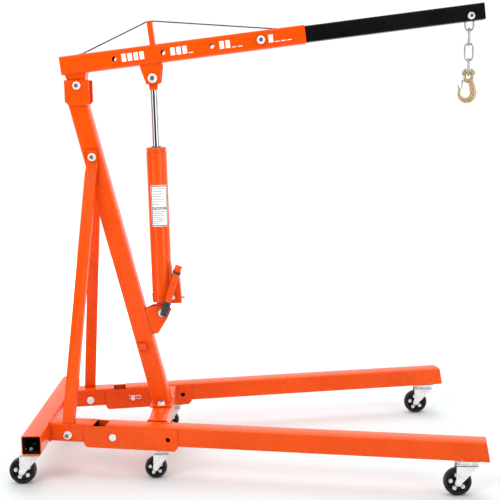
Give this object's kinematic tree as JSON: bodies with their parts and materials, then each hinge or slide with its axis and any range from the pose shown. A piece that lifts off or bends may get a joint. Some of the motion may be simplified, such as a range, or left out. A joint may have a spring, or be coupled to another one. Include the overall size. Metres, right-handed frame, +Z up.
{
  "type": "folding engine hoist",
  "caption": "Folding floor crane with leaning mast, splayed legs on swivel casters, hydraulic ram, telescoping boom and chain hook.",
  "frame": {"origin": "on the floor, in the middle of the hoist's outer box", "axes": "+X from the rear cross tube towards the hook, +Y to the hoist's left, +Z up"},
  "size_m": [1.6169, 0.907, 1.5707],
  "materials": {
    "painted_orange": "gloss",
    "black_paint": "satin",
    "zinc": "bright zinc",
    "chrome": "polished",
    "yellow_zinc": "yellow zinc",
    "steel": "plain",
    "wheel_rubber": "matte"
  },
  "bodies": {
    "frame": {"rear_cross_tube": "painted_orange", "cross_beam": "painted_orange", "leg_stub_right": "painted_orange", "leg_stub_left": "painted_orange", "leg_socket_right": "painted_orange", "leg_socket_left": "painted_orange", "leg_pin_right": "zinc", "leg_pin_left": "zinc", "brace_right": "painted_orange", "brace_left": "painted_orange", "mast_foot_bolt_right": "zinc", "mast_foot_bolt_left": "zinc", "brace_foot_bolt_right": "zinc", "brace_foot_bolt_left": "zinc", "caster_plate_rear_right": "zinc", "caster_plate_rear_left": "zinc", "caster_plate_mid_right": "zinc", "caster_plate_mid_left": "zinc", "brace_top_bolt": "zinc", "mast": "painted_orange", "ram_mast_bracket": "painted_orange"},
    "right_leg": {"leg_right": "painted_orange", "caster_plate_front_right": "zinc"},
    "left_leg": {"leg_left": "painted_orange", "caster_plate_front_left": "zinc"},
    "rear_right_swivel": {"caster_fork_rear_right": "zinc"},
    "rear_right_wheel": {"caster_wheel_rear_right": "wheel_rubber"},
    "rear_left_swivel": {"caster_fork_rear_left": "zinc"},
    "rear_left_wheel": {"caster_wheel_rear_left": "wheel_rubber"},
    "mid_right_swivel": {"caster_fork_mid_right": "zinc"},
    "mid_right_wheel": {"caster_wheel_mid_right": "wheel_rubber"},
    "mid_left_swivel": {"caster_fork_mid_left": "zinc"},
    "mid_left_wheel": {"caster_wheel_mid_left": "wheel_rubber"},
    "front_right_swivel": {"caster_fork_front_right": "zinc"},
    "front_right_wheel": {"caster_wheel_front_right": "wheel_rubber"},
    "front_left_swivel": {"caster_fork_front_left": "zinc"},
    "front_left_wheel": {"caster_wheel_front_left": "wheel_rubber"},
    "boom_pivot": {"boom_pivot_bolt": "zinc"},
    "boom": {"boom_tube": "painted_orange", "ram_boom_bracket": "painted_orange", "truss_rod": "steel", "ram_head_bolt": "zinc", "extension_lock_bolt": "zinc"},
    "extension": {"extension_tube": "black_paint", "hook_bolt": "zinc"},
    "link_1": {"chain_link_1": "zinc"},
    "link_2": {"chain_link_2": "zinc"},
    "link_3": {"chain_link_3": "zinc"},
    "link_4": {"chain_link_4": "zinc"},
    "hook": {"hook": "yellow_zinc"},
    "latch": {"hook_latch": "zinc"},
    "ram_pin": {"ram_foot_pin": "zinc"},
    "ram": {"ram_body": "painted_orange", "ram_gland": "painted_orange", "pump_block": "painted_orange"},
    "ram_piston": {"piston": "steel"},
    "ram_rod": {"piston_rod": "chrome"},
    "pump_lever": {"pump_lever": "painted_orange"},
    "pump_plunger": {"pump_plunger": "chrome"},
    "release_valve": {"release_valve": "zinc"}
  },
  "joints": [
    {"name": "right_leg_fold", "type": "hinge", "parent": "frame", "child": "right_leg", "pos_m": [-0.45712, -0.21586, 0.1448], "axis": [-0.1668, -0.986, 0], "range_deg": [0, 90]},
    {"name": "left_leg_fold", "type": "hinge", "parent": "frame", "child": "left_leg", "pos_m": [-0.45712, 0.21586, 0.1448], "axis": [0.1668, -0.986, 0], "range_deg": [0, 90]},
    {"name": "rear_right_swivel_turn", "type": "hinge", "parent": "frame", "child": "rear_right_swivel", "pos_m": [-0.7314, -0.278, 0.1197], "axis": [0, 0, 1], "continuous": true},
    {"name": "rear_right_wheel_roll", "type": "hinge", "parent": "rear_right_swivel", "child": "rear_right_wheel", "pos_m": [-0.7634, -0.278, 0.045], "axis": [0, 1, 0], "continuous": true},
    {"name": "rear_left_swivel_turn", "type": "hinge", "parent": "frame", "child": "rear_left_swivel", "pos_m": [-0.7314, 0.278, 0.1197], "axis": [0, 0, 1], "continuous": true},
    {"name": "rear_left_wheel_roll", "type": "hinge", "parent": "rear_left_swivel", "child": "rear_left_wheel", "pos_m": [-0.7634, 0.278, 0.045], "axis": [0, 1, 0], "continuous": true},
    {"name": "mid_right_swivel_turn", "type": "hinge", "parent": "frame", "child": "mid_right_swivel", "pos_m": [-0.30133, -0.24221, 0.1052], "axis": [0, 0, 1], "continuous": true},
    {"name": "mid_right_wheel_roll", "type": "hinge", "parent": "mid_right_swivel", "child": "mid_right_wheel", "pos_m": [-0.32133, -0.24221, 0.0375], "axis": [0, 1, 0], "continuous": true},
    {"name": "mid_left_swivel_turn", "type": "hinge", "parent": "frame", "child": "mid_left_swivel", "pos_m": [-0.30133, 0.24221, 0.1052], "axis": [0, 0, 1], "continuous": true},
    {"name": "mid_left_wheel_roll", "type": "hinge", "parent": "mid_left_swivel", "child": "mid_left_wheel", "pos_m": [-0.32133, 0.24221, 0.0375], "axis": [0, 1, 0], "continuous": true},
    {"name": "front_right_swivel_turn", "type": "hinge", "parent": "right_leg", "child": "front_right_swivel", "pos_m": [0.69255, -0.41031, 0.1197], "axis": [0, 0, 1], "continuous": true},
    {"name": "front_right_wheel_roll", "type": "hinge", "parent": "front_right_swivel", "child": "front_right_wheel", "pos_m": [0.66055, -0.41031, 0.045], "axis": [0, 1, 0], "continuous": true},
    {"name": "front_left_swivel_turn", "type": "hinge", "parent": "left_leg", "child": "front_left_swivel", "pos_m": [0.69255, 0.41031, 0.1197], "axis": [0, 0, 1], "continuous": true},
    {"name": "front_left_wheel_roll", "type": "hinge", "parent": "front_left_swivel", "child": "front_left_wheel", "pos_m": [0.66055, 0.41031, 0.045], "axis": [0, 1, 0], "continuous": true},
    {"name": "boom_lower", "type": "hinge", "parent": "frame", "child": "boom_pivot", "pos_m": [-0.57603, 0, 1.3151], "axis": [0, -1, 0], "range_deg": [-48, 0]},
    {"name": "boom_raise", "type": "hinge", "parent": "boom_pivot", "child": "boom", "pos_m": [-0.57603, 0, 1.3151], "axis": [0, -1, 0], "range_deg": [0, 45]},
    {"name": "extension_slide", "type": "slide", "parent": "boom", "child": "extension", "axis": [0.9937, 0, 0.1122], "range_m": [-0.5013, 0]},
    {"name": "link_1_swing", "type": "hinge", "parent": "extension", "child": "link_1", "pos_m": [0.75862, 0, 1.52704], "axis": [0, 1, 0], "range_deg": [-40, 40]},
    {"name": "link_2_swing", "type": "hinge", "parent": "link_1", "child": "link_2", "pos_m": [0.75862, 0, 1.47984], "axis": [1, 0, 0], "range_deg": [-35, 35]},
    {"name": "link_3_swing", "type": "hinge", "parent": "link_2", "child": "link_3", "pos_m": [0.75862, 0, 1.43014], "axis": [0.309, 0.9511, 0], "range_deg": [-35, 35]},
    {"name": "link_4_swing", "type": "hinge", "parent": "link_3", "child": "link_4", "pos_m": [0.75862, 0, 1.38044], "axis": [1, 0, 0], "range_deg": [-35, 35]},
    {"name": "hook_swing", "type": "hinge", "parent": "link_4", "child": "hook", "pos_m": [0.75862, 0, 1.33954], "axis": [1, 0, 0], "range_deg": [-35, 35]},
    {"name": "latch_open", "type": "hinge", "parent": "hook", "child": "latch", "pos_m": [0.73962, 0, 1.31584], "axis": [0, -1, 0], "range_deg": [0, 35], "stiffness_Nm_per_rad": 0.03, "springref_deg": -20.05},
    {"name": "ram_lean_low", "type": "hinge", "parent": "frame", "child": "ram_pin", "pos_m": [-0.308, 0, 0.5208], "axis": [0, -1, 0], "range_deg": [0, 6.68]},
    {"name": "ram_lean_high", "type": "hinge", "parent": "ram_pin", "child": "ram", "pos_m": [-0.308, 0, 0.5208], "axis": [0, -1, 0], "range_deg": [0, 5.13]},
    {"name": "piston_travel", "type": "slide", "parent": "ram", "child": "ram_piston", "axis": [-0.0128, 0, 0.9999], "range_m": [-0.1936, 0]},
    {"name": "rod_travel", "type": "slide", "parent": "ram_piston", "child": "ram_rod", "axis": [-0.0128, 0, 0.9999], "range_m": [0, 0.1812]},
    {"name": "lever_pump", "type": "hinge", "parent": "ram", "child": "pump_lever", "pos_m": [-0.2697, -0.038, 0.5788], "axis": [0, 1, 0], "range_deg": [0, 50]},
    {"name": "plunger_stroke", "type": "slide", "parent": "ram", "child": "pump_plunger", "axis": [0, 0, -1], "range_m": [0, 0.0106]},
    {"name": "valve_turn", "type": "hinge", "parent": "ram", "child": "release_valve", "pos_m": [-0.2409, 0.008, 0.5697], "axis": [1, 0, 0], "range_deg": [-360, 0]}
  ],
  "couplings": [
    {"joint": "ram_lean_low", "follows": "boom_lower", "ratio": -0.1381},
    {"joint": "ram_lean_high", "follows": "boom_raise", "ratio": 0.113},
    {"joint": "piston_travel", "follows": "boom_lower", "m_per_rad": 0.2309},
    {"joint": "rod_travel", "follows": "boom_raise", "m_per_rad": 0.2304},
    {"joint": "plunger_stroke", "follows": "lever_pump", "m_per_rad": 0.012}
  ]
}
